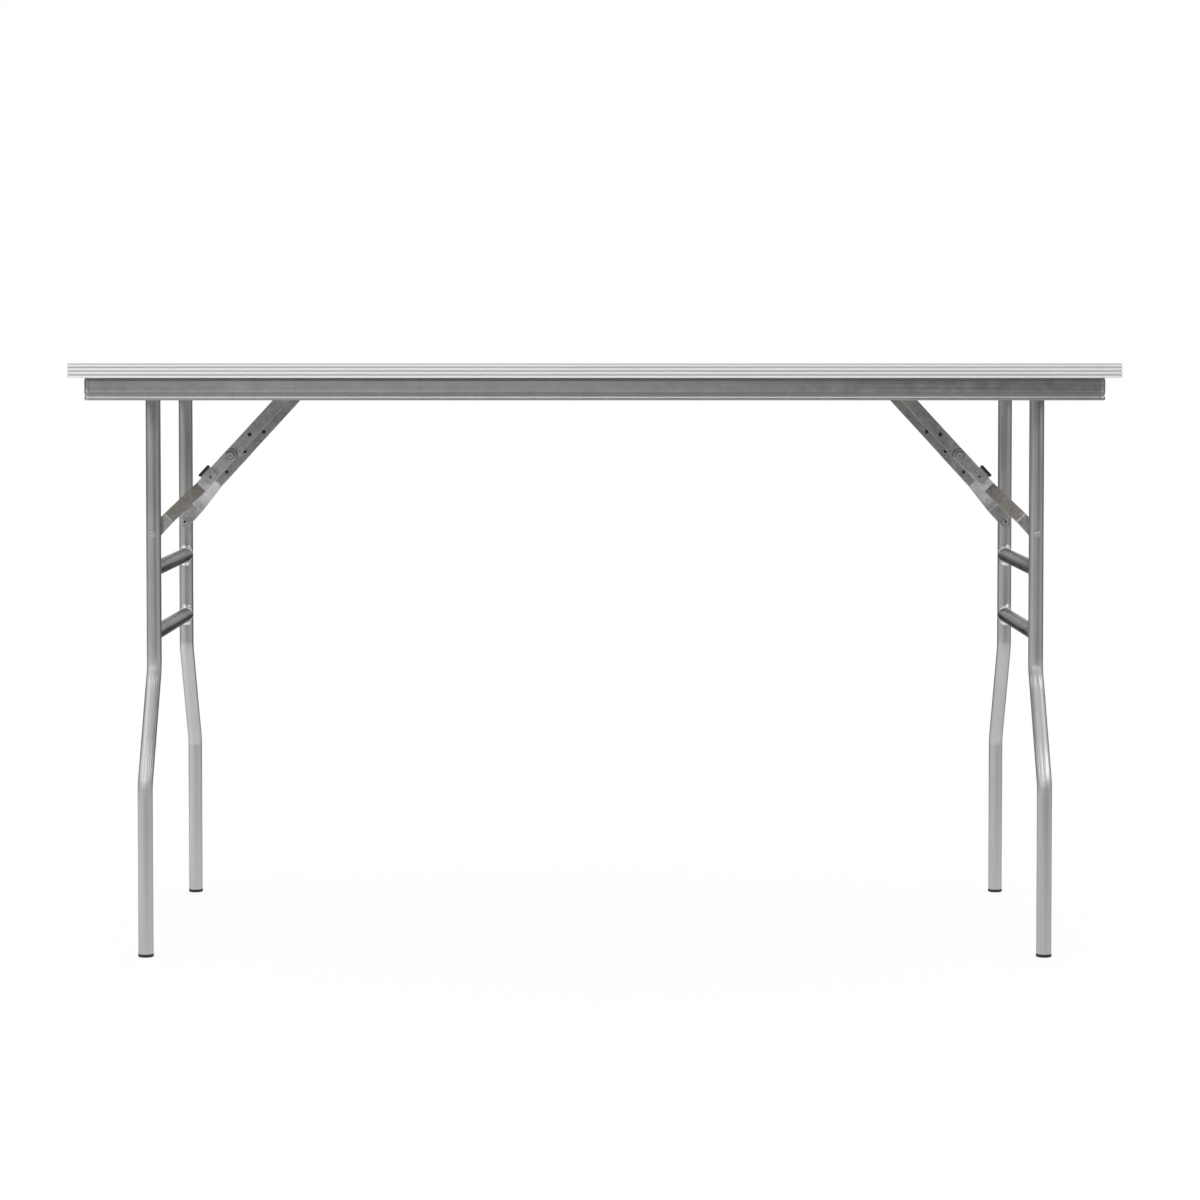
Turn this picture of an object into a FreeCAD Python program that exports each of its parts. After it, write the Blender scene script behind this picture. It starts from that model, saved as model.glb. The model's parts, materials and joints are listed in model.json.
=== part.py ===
import FreeCAD, Part
import math
import os

# Folding trestle table, in millimetres.
# X runs along the long side, Y from the front to the rear, Z up.
# The origin lies on the floor below the middle of the top.

# Whole table
table_height = 750.0
top_length = 1310.0
top_width = 610.0

# Table top: plywood core under a thin laminate
edge_height = 18.0
laminate_thickness = 1.0

# Ribbed edging with a tongue that sits in a kerf in the core
edging_depth = 5.0
edging_corner_radius = 4.0
rib_count = 4
groove_width = 1.6
groove_depth = 2.0
rib_crown = 0.6
lip_height = 1.0
lip_depth = 1.2
tongue_thickness = 2.0
tongue_depth = 7.0
tongue_clearance = 0.1

# Apron rail: a brow that leans in, a flat face, a neck that steps in, and a rolled bead along the bottom
apron_inset = 18.0
apron_height = 28.0
apron_face_height = 18.0
apron_brow_height = 4.0
apron_brow_depth = 0.8
apron_neck_height = 4.5
apron_step = 1.2
apron_thickness = 1.5
apron_flange = 18.0
apron_flange_notch = 6.0
apron_bend_radius = 8.0
apron_return = 12.0
apron_joint_gap = 0.2
apron_long_screw_count = 4
apron_short_screw_count = 2

# Leg frames: bent tube, one pivot bar and two crossbars each
leg_inset = 87.0
pivot_drop = 14.0
tube_diameter = 19.0
tube_wall = 1.5
leg_spacing_top = 324.0
leg_spacing_foot = 498.0
crank_top_height = 357.0
crank_bottom_height = 217.0
crank_bend_radius = 28.0
lower_crossbar_rise = 45.0
crossbar_spacing = 83.0
weld_gap = 0.1

# Foot caps
foot_cap_thickness = 4.0
foot_cap_flare = 0.4
foot_cap_chamfer = 1.0
foot_plug_depth = 20.0
foot_plug_clearance = 0.1

# Hinge straps that carry the pivot bars
strap_width = 20.0
strap_thickness = 2.5
strap_flange = 16.0
strap_leg_gap = 2.0
pivot_bar_overhang = 3.0
running_clearance = 0.1

# Folding struts
strut_reach = 172.0
strut_drop = 186.7
strut_spacing = 174.0
link_width = 16.0
link_thickness = 3.0
link_gap = 0.3
link_hole_diameter = 5.0
link_hole_distance = 37.0
lower_link_knuckle_flat = 58.0
lower_link_leg_flat = 26.0

# Strut rod and its brackets
rod_diameter = 8.0
rod_head_diameter = 12.0
rod_head_height = 2.0
bracket_thickness = 3.0
bracket_half_width = 12.0
bracket_foot_length = 32.0

# Rivets
rivet_diameter = 6.0
knuckle_washer_diameter = 13.0
knuckle_washer_height = 0.8
knuckle_head_diameter = 9.0
knuckle_head_height = 1.2
knuckle_tail_diameter = 7.5
knuckle_tail_height = 1.6
leg_head_diameter = 9.5
leg_head_height = 2.4

# Latches
latch_distance = 38.0
latch_thickness = 1.6
latch_length = 18.0
latch_heel = 5.0
latch_tab_height = 11.5
latch_corner_radius = 4.0
latch_pin_diameter = 5.0
latch_pin_bore = 3.0
latch_pin_inner_bore = 4.2
latch_pin_web = 1.0
latch_pin_rim_diameter = 6.6
latch_pin_rim_height = 0.5
latch_pin_play = 0.2
grip_length = 19.0
grip_foot_height = 9.2
grip_side_height = 10.6
grip_top_height = 13.2
grip_depth = 4.4

# Screws into the core
screw_diameter = 4.0
screw_length = 12.0
screw_head_diameter = 8.0
screw_crown_diameter = 5.6
screw_head_height = 2.2
screw_hole_clearance = 0.3
pilot_clearance = 0.05

# One overrun serves all cuts
overrun = 2.0

# Turns in degrees
full_turn = 360.0
quarter_turn = 90.0
half_turn = 180.0

# Worked-out places
underside = table_height - edge_height
core_length = top_length - 2 * edging_depth
core_width = top_width - 2 * edging_depth
apron_length = top_length - 2 * apron_inset
apron_width = top_width - 2 * apron_inset
tube_radius = tube_diameter / 2
bore_radius = tube_radius - tube_wall
leg_x = top_length / 2 - leg_inset
pivot_height = underside - pivot_drop
lower_crossbar_height = crank_top_height + lower_crossbar_rise
upper_crossbar_height = lower_crossbar_height + crossbar_spacing
strap_inner = leg_spacing_top / 2 + tube_radius + strap_leg_gap
strap_radius = tube_radius + running_clearance
rod_x = leg_x - strut_reach
rivet_height = pivot_height - strut_drop
strut_length = math.hypot(strut_reach, strut_drop)

# The two links fold flat onto each other, which fixes where the knuckle lies
upper_link_length = (strut_length + strut_reach - strut_drop) / 2
lower_link_length = strut_length - upper_link_length

# Places across the struts, measured outward from the middle of the table
upper_inner = strut_spacing / 2 - link_thickness / 2
upper_outer = upper_inner + link_thickness
lower_inner = upper_outer + link_gap
lower_outer = lower_inner + link_thickness
leg_inner_face = leg_spacing_top / 2 - tube_radius
lower_end_outer = leg_inner_face - link_gap
lower_end_inner = lower_end_outer - link_thickness
latch_inner = lower_outer + link_gap
latch_outer = latch_inner + latch_thickness
bracket_outer = upper_inner - link_gap
bracket_inner = bracket_outer - bracket_thickness

# Directions
UP = FreeCAD.Vector(0, 0, 1)
ALONG = FreeCAD.Vector(1, 0, 0)
REARWARD = FreeCAD.Vector(0, 1, 0)
FRONT = -1
REAR = 1
LEFT = -1
RIGHT = 1
SIDES = {"left": LEFT, "right": RIGHT}
ENDS = {"front": FRONT, "rear": REAR}

pieces = {}


def point(x, y, z):
    return FreeCAD.Vector(x, y, z)


def box(low, high):
    size = high - low
    return Part.makeBox(size.x, size.y, size.z, low)


def cylinder(radius, start, end):
    axis = end - start
    return Part.makeCylinder(radius, axis.Length, start, axis)


def tube(start, end):
    outside = cylinder(tube_radius, start, end)
    return outside.cut(cylinder(bore_radius, start, end))


def line(start, end):
    return Part.makeLine(start, end)


def arc(start, middle, end):
    return Part.Arc(start, middle, end).toShape()


def face(edges):
    return Part.Face(Part.Wire(edges))


def outline(points):
    return Part.makePolygon(points + points[:1]).Edges


def dome(base, direction, diameter, height):
    """Low round rivet head that stands on base and points along direction."""
    radius = diameter / 2
    ball = (radius ** 2 + height ** 2) / (2 * height)
    half_angle = math.asin(radius / ball) / 2
    rim = point(radius, 0, 0)
    crown = point(0, 0, height)
    middle = point(ball * math.sin(half_angle), 0, height - ball + ball * math.cos(half_angle))
    origin = point(0, 0, 0)
    section = face([line(origin, rim), arc(rim, middle, crown), line(crown, origin)])
    head = section.revolve(origin, UP, full_turn)
    head.Placement = FreeCAD.Placement(base, FreeCAD.Rotation(UP, direction))
    return head


# Table top
def edging_section():
    """Section of the edging at X = 0 on the front edge, tongue inward."""
    crest_y = -top_width / 2
    shoulder_y = crest_y + rib_crown
    root_y = crest_y + groove_depth
    back_y = crest_y + edging_depth
    rib_height = (edge_height - lip_height - (rib_count - 1) * groove_width) / rib_count
    edges = []
    corner = point(0, back_y, underside)
    for rib in range(rib_count):
        low_z = underside + rib * (rib_height + groove_width)
        high_z = low_z + rib_height
        low = point(0, shoulder_y, low_z)
        high = point(0, shoulder_y, high_z)
        if rib > 0:
            groove_end = point(0, root_y, low_z)
            edges.append(line(corner, groove_end))
            corner = groove_end
        edges.append(line(corner, low))
        edges.append(arc(low, point(0, crest_y, (low_z + high_z) / 2), high))
        corner = high
        if rib < rib_count - 1:
            groove_start = point(0, root_y, high_z)
            edges.append(line(high, groove_start))
            corner = groove_start
    middle_z = underside + edge_height / 2
    tongue_y = back_y + tongue_depth
    tongue_top = middle_z + tongue_thickness / 2
    tongue_bottom = middle_z - tongue_thickness / 2
    inner_points = [
        point(0, crest_y + lip_depth, table_height - lip_height),
        point(0, crest_y + lip_depth, table_height),
        point(0, back_y, table_height),
        point(0, back_y, tongue_top),
        point(0, tongue_y, tongue_top),
        point(0, tongue_y, tongue_bottom),
        point(0, back_y, tongue_bottom),
        point(0, back_y, underside),
    ]
    for end in inner_points:
        edges.append(line(corner, end))
        corner = end
    return face(edges)


def mitre_plan(length, width):
    """Plan of a front strip: mitred ends, outer corners half rounded."""
    depth = edging_depth + tongue_depth + overrun
    turn = edging_corner_radius / math.sqrt(2)
    middle_angle = math.radians(3 * quarter_turn / 4)
    bulge_x = edging_corner_radius * math.cos(middle_angle)
    bulge_y = edging_corner_radius * math.sin(middle_angle)
    centre_x = length / 2 - edging_corner_radius
    centre_y = edging_corner_radius - width / 2
    front_y = -width / 2
    corners = {}
    for side in (LEFT, RIGHT):
        corners[side] = {
            "inner": point(side * (length / 2 - depth), depth - width / 2, underside),
            "mitre": point(side * (centre_x + turn), centre_y - turn, underside),
            "bulge": point(side * (centre_x + bulge_x), centre_y - bulge_y, underside),
            "front": point(side * centre_x, front_y, underside),
        }
    left = corners[LEFT]
    right = corners[RIGHT]
    edges = [
        line(left["inner"], left["mitre"]),
        arc(left["mitre"], left["bulge"], left["front"]),
        line(left["front"], right["front"]),
        arc(right["front"], right["bulge"], right["mitre"]),
        line(right["mitre"], right["inner"]),
        line(right["inner"], left["inner"]),
    ]
    return face(edges)


def edging(length, width, turn):
    section = edging_section()
    section.translate(point(-length / 2, (top_width - width) / 2, 0))
    strip = section.extrude(ALONG * length)
    strip = strip.common(mitre_plan(length, width).extrude(UP * edge_height))
    strip.rotate(point(0, 0, 0), UP, turn)
    return strip


def top_panel(pilot_holes):
    half = point(core_length / 2, core_width / 2, 0)
    core_top = table_height - laminate_thickness
    core = box(UP * underside - half, UP * core_top + half)
    kerf_depth = tongue_depth + tongue_clearance
    kerf_half = tongue_thickness / 2 + tongue_clearance
    kerf_middle = underside + edge_height / 2
    kerf_inset = point(kerf_depth, kerf_depth, 0)
    kerf_low = UP * (kerf_middle - kerf_half)
    kerf_high = UP * (kerf_middle + kerf_half)
    past_edge = point(overrun, overrun, 0)
    kerf = box(kerf_low - half - past_edge, kerf_high + half + past_edge)
    kerf = kerf.cut(box(kerf_low - half + kerf_inset, kerf_high + half - kerf_inset))
    return core.cut(kerf).cut(Part.makeCompound(pilot_holes))


def top_laminate():
    half = point(core_length / 2, core_width / 2, 0)
    return box(UP * (table_height - laminate_thickness) - half, UP * table_height + half)


# Apron
def apron_web(x, width):
    """Section of the rail at X = x on the front side."""
    face_y = -width / 2
    inside_y = face_y + apron_thickness
    neck_y = face_y + apron_step
    neck_inside_y = neck_y + apron_thickness
    crease_z = underside - apron_face_height
    neck_z = crease_z - apron_neck_height
    top_outer = point(x, face_y + apron_brow_depth, underside)
    brow_outer = point(x, face_y, underside - apron_brow_height)
    crease_outer = point(x, face_y, crease_z)
    neck_outer = point(x, neck_y, neck_z)
    bead_bottom = point(x, (neck_y + neck_inside_y) / 2, underside - apron_height)
    neck_inner = point(x, neck_inside_y, neck_z)
    crease_inner = point(x, inside_y, crease_z)
    top_inner = point(x, inside_y, underside)
    edges = [
        line(top_outer, brow_outer),
        line(brow_outer, crease_outer),
        line(crease_outer, neck_outer),
        arc(neck_outer, bead_bottom, neck_inner),
        line(neck_inner, crease_inner),
        line(crease_inner, top_inner),
        line(top_inner, top_outer),
    ]
    return face(edges)


def apron_flange_plate(half_length, width, screw_places):
    inside_y = apron_thickness - width / 2
    low = point(-half_length, inside_y, underside - apron_thickness)
    high = point(half_length, inside_y + apron_flange, underside)
    return drill(box(low, high), screw_places)


def apron_screw_places(half_length, width, count):
    y = apron_thickness + apron_flange / 2 - width / 2
    pitch = 2 * half_length / count
    return [point((place + 1 / 2) * pitch - half_length, y, underside) for place in range(count)]


def long_rail_half():
    return apron_length / 2 - apron_bend_radius - apron_flange_notch


def short_rail_half():
    return apron_width / 2 - apron_return - apron_joint_gap


def long_rail():
    """Front rail: its ends turn the corners and end in short returns."""
    bend_x = apron_length / 2 - apron_bend_radius
    bend_y = apron_bend_radius - apron_width / 2
    web = apron_web(-bend_x, apron_width).extrude(ALONG * (2 * bend_x))
    section = apron_web(bend_x, apron_width)
    bend_axis = point(bend_x, bend_y, 0)
    bend = section.revolve(bend_axis, UP, quarter_turn)
    section.rotate(bend_axis, UP, quarter_turn)
    end = section.extrude(REARWARD * (apron_return - apron_bend_radius))
    corner = bend.fuse(end)
    other_corner = corner.mirror(point(0, 0, 0), ALONG)
    half_length = long_rail_half()
    places = apron_screw_places(half_length, apron_width, apron_long_screw_count)
    flange = apron_flange_plate(half_length, apron_width, places)
    return web.fuse([corner, other_corner, flange]).removeSplitter(), places


def short_rail():
    half_length = short_rail_half()
    web = apron_web(-half_length, apron_length).extrude(ALONG * (2 * half_length))
    flange_half = half_length - apron_flange
    places = apron_screw_places(flange_half, apron_length, apron_short_screw_count)
    flange = apron_flange_plate(flange_half, apron_length, places)
    return web.fuse(flange).removeSplitter(), places


def turned(shape, angle):
    copy = shape.copy()
    copy.rotate(point(0, 0, 0), UP, angle)
    return copy


def turned_places(places, angle):
    turn = FreeCAD.Rotation(UP, angle)
    return [turn.multVec(place) for place in places]


# Screws: each place is the point where the screw's axis meets the underside of the core
def screw(place, plate_thickness):
    seat = place - UP * plate_thickness
    head = Part.makeCone(screw_head_diameter / 2, screw_crown_diameter / 2, screw_head_height, seat, -UP)
    shank = cylinder(screw_diameter / 2, seat, seat + UP * screw_length)
    return head.fuse(shank)


def pilot_hole(place, plate_thickness):
    depth = screw_length - plate_thickness + pilot_clearance
    return cylinder(screw_diameter / 2 + pilot_clearance, place, place + UP * depth)


def drill(plate, places):
    radius = screw_diameter / 2 + screw_hole_clearance
    holes = [cylinder(radius, place - UP * overrun * 2, place + UP * overrun) for place in places]
    return plate.cut(Part.makeCompound(holes))


# Leg frames
def leg_path(end):
    """Centre line of one leg at X = 0, from the pivot axis down to the foot cap."""
    top_y = end * leg_spacing_top / 2
    foot_y = end * leg_spacing_foot / 2
    start = point(0, top_y, pivot_height)
    upper_corner = point(0, top_y, crank_top_height)
    lower_corner = point(0, foot_y, crank_bottom_height)
    foot = point(0, foot_y, foot_cap_thickness)
    edges = []
    route = [start, upper_corner, lower_corner, foot]
    run_start = start
    for before, corner, after in zip(route, route[1:], route[2:]):
        arriving = (corner - before).normalize()
        leaving = (after - corner).normalize()
        half_bend = arriving.getAngle(leaving) / 2
        tangent = crank_bend_radius * math.tan(half_bend)
        bend_start = corner - arriving * tangent
        bend_end = corner + leaving * tangent
        inward = (leaving - arriving).normalize()
        rise = crank_bend_radius / math.cos(half_bend) - crank_bend_radius
        edges.append(line(run_start, bend_start))
        edges.append(arc(bend_start, corner + inward * rise, bend_end))
        run_start = bend_end
    edges.append(line(run_start, foot))
    return Part.Wire(edges)


def leg_sweep(path, radius):
    start = path.Vertexes[0].Point
    ring = Part.Wire([Part.makeCircle(radius, start, UP)])
    return path.makePipeShell([ring], True, False)


def leg(side, end):
    path = leg_path(end)
    body = leg_sweep(path, tube_radius).cut(leg_sweep(path, bore_radius))
    body.translate(ALONG * (side * leg_x))
    top_y = end * leg_spacing_top / 2
    across = REARWARD * (tube_diameter + overrun)
    pivot_centre = point(side * leg_x, top_y, pivot_height)
    body = body.cut(cylinder(tube_radius + weld_gap, pivot_centre - across, pivot_centre + across))
    rivet_centre = point(side * leg_x, top_y, rivet_height)
    hole_radius = rivet_diameter / 2 + running_clearance
    return body.cut(cylinder(hole_radius, rivet_centre - across, rivet_centre + across))


def pivot_bar(side):
    reach = strap_inner + strap_width + pivot_bar_overhang
    return tube(point(side * leg_x, -reach, pivot_height), point(side * leg_x, reach, pivot_height))


def crossbar(side, height):
    reach = leg_spacing_top / 2
    bar = tube(point(side * leg_x, -reach, height), point(side * leg_x, reach, height))
    rise = UP * (tube_diameter + overrun)
    for end in ENDS.values():
        joint = point(side * leg_x, end * reach, height)
        bar = bar.cut(cylinder(tube_radius + weld_gap, joint - rise, joint + rise))
    return bar


def foot_cap(side, end):
    centre = point(side * leg_x, end * leg_spacing_foot / 2, 0)
    top = centre + UP * foot_cap_thickness
    pad = cylinder(tube_radius + foot_cap_flare, centre, top)
    lower_rim = [edge for edge in pad.Edges if edge.BoundBox.ZMax < foot_cap_thickness / 2]
    pad = pad.makeChamfer(foot_cap_chamfer, lower_rim)
    plug = cylinder(bore_radius - foot_plug_clearance, top, top + UP * foot_plug_depth)
    return pad.fuse(plug)


def strut_rivet(side, end):
    outward = REARWARD * end
    axis = point(side * leg_x, 0, rivet_height)
    inner = axis + outward * lower_end_inner
    outer = axis + outward * (leg_spacing_top / 2 + tube_radius)
    shank = cylinder(rivet_diameter / 2, inner, outer)
    inner_head = dome(inner - outward * link_gap, -outward, leg_head_diameter, leg_head_height)
    collar = cylinder(rivet_diameter / 2, inner - outward * link_gap, inner)
    outer_head = dome(outer, outward, leg_head_diameter, leg_head_height)
    return shank.fuse([collar, inner_head, outer_head])


# Hinge straps and strut brackets
def hinge_strap(side, end):
    outer = strap_radius + strap_thickness
    reach = outer + strap_flange
    ledge = pivot_drop - strap_thickness
    near = strap_inner if end == REAR else -strap_inner - strap_width
    base = point(side * leg_x, near, pivot_height)

    def place(x, z):
        return base + point(x, 0, z)

    edges = [
        line(place(-reach, pivot_drop), place(-reach, ledge)),
        line(place(-reach, ledge), place(-outer, ledge)),
        line(place(-outer, ledge), place(-outer, 0)),
        arc(place(-outer, 0), place(0, -outer), place(outer, 0)),
        line(place(outer, 0), place(outer, ledge)),
        line(place(outer, ledge), place(reach, ledge)),
        line(place(reach, ledge), place(reach, pivot_drop)),
        line(place(reach, pivot_drop), place(strap_radius, pivot_drop)),
        line(place(strap_radius, pivot_drop), place(strap_radius, 0)),
        arc(place(strap_radius, 0), place(0, -strap_radius), place(-strap_radius, 0)),
        line(place(-strap_radius, 0), place(-strap_radius, pivot_drop)),
        line(place(-strap_radius, pivot_drop), place(-reach, pivot_drop)),
    ]
    strap = face(edges).extrude(REARWARD * strap_width)
    screw_x = outer + strap_flange / 2
    middle_y = near + strap_width / 2
    places = [point(side * leg_x + way * screw_x, middle_y, underside) for way in (LEFT, RIGHT)]
    return drill(strap, places), places


def strut_bracket(side, end):
    """Angle bracket: a foot under the core and an ear that holds the rod."""
    outward = REARWARD * end
    axis = point(side * rod_x, 0, pivot_height)
    half = ALONG * bracket_half_width
    rise = UP * pivot_drop
    ear_base = axis + outward * bracket_inner
    ear_edges = [
        line(ear_base - half + rise, ear_base - half),
        arc(ear_base - half, ear_base - UP * bracket_half_width, ear_base + half),
        line(ear_base + half, ear_base + half + rise),
        line(ear_base + half + rise, ear_base - half + rise),
    ]
    ear = face(ear_edges).extrude(outward * bracket_thickness)
    foot_inner = bracket_inner - bracket_foot_length
    foot_edges = outline([
        axis + outward * foot_inner - half + rise,
        axis + outward * foot_inner + half + rise,
        axis + outward * bracket_inner + half + rise,
        axis + outward * bracket_inner - half + rise,
    ])
    foot = face(foot_edges).extrude(-UP * bracket_thickness)
    bore = cylinder(rod_diameter / 2 + running_clearance, ear_base - outward * overrun,
                    ear_base + outward * (bracket_thickness + overrun))
    bracket = ear.fuse(foot).removeSplitter().cut(bore)
    middle = bracket_inner - bracket_foot_length / 2
    spread = bracket_half_width / 2
    places = [axis + rise + outward * middle + ALONG * (way * spread) for way in (LEFT, RIGHT)]
    return drill(bracket, places), places


# Folding struts
def strut_frame(side):
    """Rod, knuckle and leg-rivet points at Y = 0, and the strut's two directions."""
    rod = point(side * rod_x, 0, pivot_height)
    leg_rivet = point(side * leg_x, 0, rivet_height)
    down = (leg_rivet - rod).normalize()
    outward_edge = point(-side * down.z, 0, side * down.x)
    knuckle = rod + down * upper_link_length
    return rod, knuckle, leg_rivet, down, outward_edge


def round_bar(start, end, across, near_y, far_y):
    """Flat bar with round ends between two points, from near_y to far_y."""
    half = across * (link_width / 2)
    along = (end - start).normalize() * (link_width / 2)
    base = REARWARD * near_y
    edges = [
        line(start + half, end + half),
        arc(end + half, end + along, end - half),
        line(end - half, start - half),
        arc(start - half, start - along, start + half),
    ]
    plate = face(edges)
    plate.translate(base)
    return plate.extrude(REARWARD * (far_y - near_y))


def through_hole(centre, radius):
    reach = REARWARD * (leg_spacing_top / 2)
    return cylinder(radius, centre - reach, centre + reach)


def upper_link(side, end):
    rod, knuckle, leg_rivet, down, edge = strut_frame(side)
    bar = round_bar(rod, knuckle, edge, end * upper_inner, end * upper_outer)
    holes = [
        through_hole(rod, rod_diameter / 2 + running_clearance),
        through_hole(knuckle, rivet_diameter / 2 + running_clearance),
        through_hole(knuckle - down * link_hole_distance, link_hole_diameter / 2),
    ]
    return bar.cut(Part.makeCompound(holes))


def lower_link(side, end):
    """Link that lies flat at the knuckle, then slants out to the leg."""
    rod, knuckle, leg_rivet, down, edge = strut_frame(side)
    outward = REARWARD * end
    slant_start = lower_link_knuckle_flat
    slant_end = lower_link_length - lower_link_leg_flat
    slope = math.atan2(lower_end_inner - lower_inner, slant_end - slant_start)
    shift = link_thickness * math.tan(slope / 2)
    reach = link_width
    route = [
        (-reach, lower_inner),
        (slant_start, lower_inner),
        (slant_end, lower_end_inner),
        (lower_link_length + reach, lower_end_inner),
        (lower_link_length + reach, lower_end_outer),
        (slant_end - shift, lower_end_outer),
        (slant_start - shift, lower_outer),
        (-reach, lower_outer),
    ]
    side_edge = knuckle - edge * link_width
    corners = [side_edge + down * distance + outward * depth for distance, depth in route]
    strip = face(outline(corners)).extrude(edge * (2 * link_width))
    far_y = leg_spacing_top / 2
    shape = strip.common(round_bar(knuckle, leg_rivet, edge, -far_y, far_y))
    holes = [
        through_hole(knuckle, rivet_diameter / 2 + running_clearance),
        through_hole(knuckle + down * latch_distance, latch_pin_diameter / 2 + running_clearance),
        through_hole(leg_rivet, rivet_diameter / 2 + running_clearance),
    ]
    return shape.cut(Part.makeCompound(holes))


def strut_rod(side):
    rod = strut_frame(side)[0]
    shank = cylinder(rod_diameter / 2, rod - REARWARD * upper_outer, rod + REARWARD * upper_outer)
    heads = []
    for end in ENDS.values():
        outward = REARWARD * end
        heads.append(dome(rod + outward * upper_outer, outward, rod_head_diameter, rod_head_height))
    return shank.fuse(heads)


def knuckle_outer_half(side, end):
    """Half of a knuckle rivet in the lower link, with its washer and head on the outer face."""
    knuckle = strut_frame(side)[1]
    outward = REARWARD * end
    seat = knuckle + outward * lower_outer
    washer_top = seat + outward * knuckle_washer_height
    shank = cylinder(rivet_diameter / 2, knuckle + outward * lower_inner, seat)
    washer = cylinder(knuckle_washer_diameter / 2, seat, washer_top)
    head = dome(washer_top, outward, knuckle_head_diameter, knuckle_head_height)
    return shank.fuse([washer, head])


def knuckle_inner_half(side, end):
    """Half of a knuckle rivet in the upper link, with its small tail on the inner face."""
    knuckle = strut_frame(side)[1]
    outward = REARWARD * end
    seat = knuckle + outward * upper_inner
    shank = cylinder(rivet_diameter / 2, seat, knuckle + outward * upper_outer)
    tail = dome(seat, -outward, knuckle_tail_diameter, knuckle_tail_height)
    return shank.fuse(tail)


# Latches
def latch_lever(side, end):
    rod, knuckle, leg_rivet, down, edge = strut_frame(side)
    outward = REARWARD * end
    pin = knuckle + down * latch_distance + outward * latch_inner
    half = down * (latch_length / 2)
    heel = edge * latch_heel
    tab = edge * latch_tab_height
    corners = [pin - half - heel, pin - half + tab, pin + half + tab, pin + half - heel]
    plate = face(outline(corners)).extrude(outward * latch_thickness)
    uprights = [line_edge for line_edge in plate.Edges if abs(line_edge.tangentAt(0).y) > 1 / 2]
    plate = plate.makeFillet(latch_corner_radius, uprights)
    bore = cylinder(latch_pin_diameter / 2 + running_clearance, pin - outward * overrun,
                    pin + outward * (latch_thickness + overrun))
    return plate.cut(bore)


def latch_grip(side, end, lever):
    rod, knuckle, leg_rivet, down, edge = strut_frame(side)
    outward = REARWARD * end
    pin = knuckle + down * latch_distance + outward * latch_inner
    half = down * (grip_length / 2)
    foot = pin + edge * grip_foot_height
    brow = pin + edge * grip_side_height
    edges = [
        line(foot - half, brow - half),
        arc(brow - half, pin + edge * grip_top_height, brow + half),
        line(brow + half, foot + half),
        line(foot + half, foot - half),
    ]
    return face(edges).extrude(outward * grip_depth).cut(lever)


def latch_pin(side, end):
    """Rivet through the lower link and the latch lever, hollow at both ends."""
    rod, knuckle, leg_rivet, down, edge = strut_frame(side)
    outward = REARWARD * end
    axis = knuckle + down * latch_distance
    inner = axis + outward * lower_inner
    seat = axis + outward * (latch_outer + latch_pin_play)
    shank = cylinder(latch_pin_diameter / 2, inner, seat)
    crown = seat + outward * latch_pin_rim_height
    rim = cylinder(latch_pin_rim_diameter / 2, seat, crown)
    middle = (inner + crown) / 2
    half_web = outward * (latch_pin_web / 2)
    inner_bore = cylinder(latch_pin_inner_bore / 2, inner - outward * overrun, middle - half_web)
    outer_bore = cylinder(latch_pin_bore / 2, middle + half_web, crown + outward * overrun)
    return shank.fuse(rim).cut(inner_bore).cut(outer_bore)


# Assembly
front_rail, front_places = long_rail()
right_rail, right_places = short_rail()
apron_places = []
for name, rail, places, turn in (
    ("front", front_rail, front_places, 0),
    ("rear", front_rail, front_places, half_turn),
    ("right", right_rail, right_places, quarter_turn),
    ("left", right_rail, right_places, -quarter_turn),
):
    pieces["apron_" + name] = turned(rail, turn)
    apron_places += turned_places(places, turn)

pieces["edging_front"] = edging(top_length, top_width, 0)
pieces["edging_rear"] = edging(top_length, top_width, half_turn)
pieces["edging_right"] = edging(top_width, top_length, quarter_turn)
pieces["edging_left"] = edging(top_width, top_length, -quarter_turn)

strap_places = []
bracket_places = []
for side_name, side in SIDES.items():
    for end_name, end in ENDS.items():
        strap, places = hinge_strap(side, end)
        pieces[f"{side_name}_hinge_strap_{end_name}"] = strap
        strap_places += places
        bracket, places = strut_bracket(side, end)
        pieces[f"{side_name}_strut_bracket_{end_name}"] = bracket
        bracket_places += places

screw_groups = {
    "apron_screws": (apron_places, apron_thickness),
    "strap_screws": (strap_places, strap_thickness),
    "bracket_screws": (bracket_places, bracket_thickness),
}
pilot_holes = []
for name, (places, plate_thickness) in screw_groups.items():
    pieces[name] = Part.makeCompound([screw(place, plate_thickness) for place in places])
    pilot_holes += [pilot_hole(place, plate_thickness) for place in places]
pieces["top_panel"] = top_panel(pilot_holes)
pieces["top_laminate"] = top_laminate()

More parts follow.
